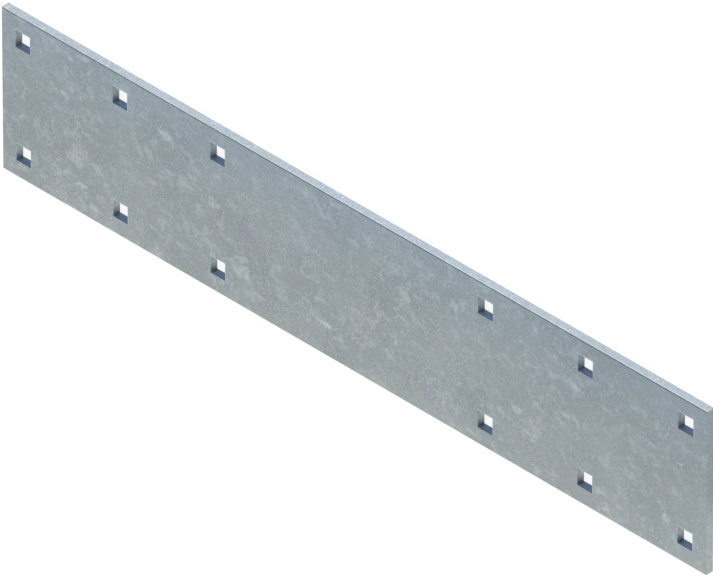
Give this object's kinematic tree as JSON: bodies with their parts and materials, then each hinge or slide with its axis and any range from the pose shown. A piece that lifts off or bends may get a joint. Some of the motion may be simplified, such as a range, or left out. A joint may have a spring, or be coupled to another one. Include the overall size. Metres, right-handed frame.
{
  "type": "mending plate",
  "caption": "Flat galvanised steel mending plate with a grid of punched square holes towards each end, for the carriage bolts that tie two members together.",
  "frame": {"origin": "centre of the back face, which lies on the ground", "axes": "+X along the length, +Y across the width, +Z out of the front face, where the bolt heads sit"},
  "size_m": [0.635, 0.127, 0.0063],
  "materials": {
    "galvanised_steel": "hot-dip galvanised, matt zinc grey"
  },
  "bodies": {
    "root": {"mending_plate": "galvanised_steel"}
  },
  "joints": []
}
